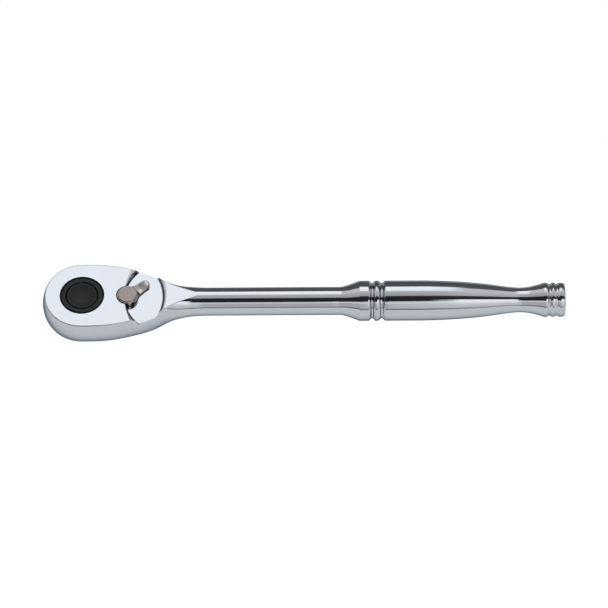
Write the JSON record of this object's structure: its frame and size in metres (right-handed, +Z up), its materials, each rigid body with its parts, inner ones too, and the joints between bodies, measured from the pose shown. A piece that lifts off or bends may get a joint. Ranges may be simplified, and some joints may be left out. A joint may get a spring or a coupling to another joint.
{
  "type": "ratchet wrench",
  "caption": "Reversible quick-release ratchet wrench: pear head, square drive, push button, two-way lever and a turned metal grip.",
  "frame": {"origin": "centre of the drive square's end face", "axes": "+Z up along the drive axis, from the square's end towards the release button; +X along the handle, from the head to the grip; +Y completes a right-handed frame"},
  "size_m": [0.2, 0.0306, 0.0247],
  "materials": {
    "forged_chrome": "polished",
    "black_oxide": "satin",
    "lever_chrome": "polished",
    "ground_steel": "satin",
    "tool_steel": "satin",
    "spring_steel": "satin",
    "cover_steel": "satin",
    "screw_steel": "satin"
  },
  "bodies": {
    "handle": {"handle_body": "forged_chrome", "cover_plate": "cover_steel", "cover_screw_1": "screw_steel", "cover_screw_2": "screw_steel", "cover_screw_3": "screw_steel"},
    "drive": {"drive_gear": "black_oxide", "button_spring": "spring_steel"},
    "release": {"release_button": "black_oxide", "release_pin": "tool_steel"},
    "ball": {"socket_detent_ball": "tool_steel"},
    "selector": {"reversing_lever": "lever_chrome", "lever_spindle": "ground_steel", "lever_retaining_ring": "spring_steel", "plunger_spring": "spring_steel"},
    "rocker": {"pawl": "tool_steel"},
    "plunger": {"pawl_plunger": "tool_steel"}
  },
  "joints": [
    {"name": "drive_spin", "type": "hinge", "parent": "handle", "child": "drive", "pos_m": [0, 0, 0.012], "axis": [0, 0, 1], "continuous": true},
    {"name": "button_press", "type": "slide", "parent": "drive", "child": "release", "axis": [0, 0, -1], "range_m": [0, 0.0018], "stiffness_N_per_m": 1500, "springref_m": -0.003, "deforming": ["button_spring"]},
    {"name": "ball_slide", "type": "slide", "parent": "drive", "child": "ball", "axis": [0, 1, 0], "range_m": [0, 0.000501]},
    {"name": "lever_turn", "type": "hinge", "parent": "handle", "child": "selector", "pos_m": [0.0173, 0, 0.018], "axis": [0, 0, 1], "range_deg": [-78, 0]},
    {"name": "pawl_rock", "type": "hinge", "parent": "handle", "child": "rocker", "pos_m": [0.0173, 0, 0.0154], "axis": [0, 0, 1], "range_deg": [-6.4, 0]},
    {"name": "plunger_slide", "type": "slide", "parent": "selector", "child": "plunger", "axis": [-0.7771, -0.6293, 0], "range_m": [-0.0007, 0], "stiffness_N_per_m": 400, "springref_m": 0.001, "deforming": ["plunger_spring"]}
  ],
  "couplings": [
    {"joint": "ball_slide", "follows": "button_press", "ratio": 0.2778},
    {"joint": "pawl_rock", "follows": "lever_turn", "ratio": 0.082}
  ]
}
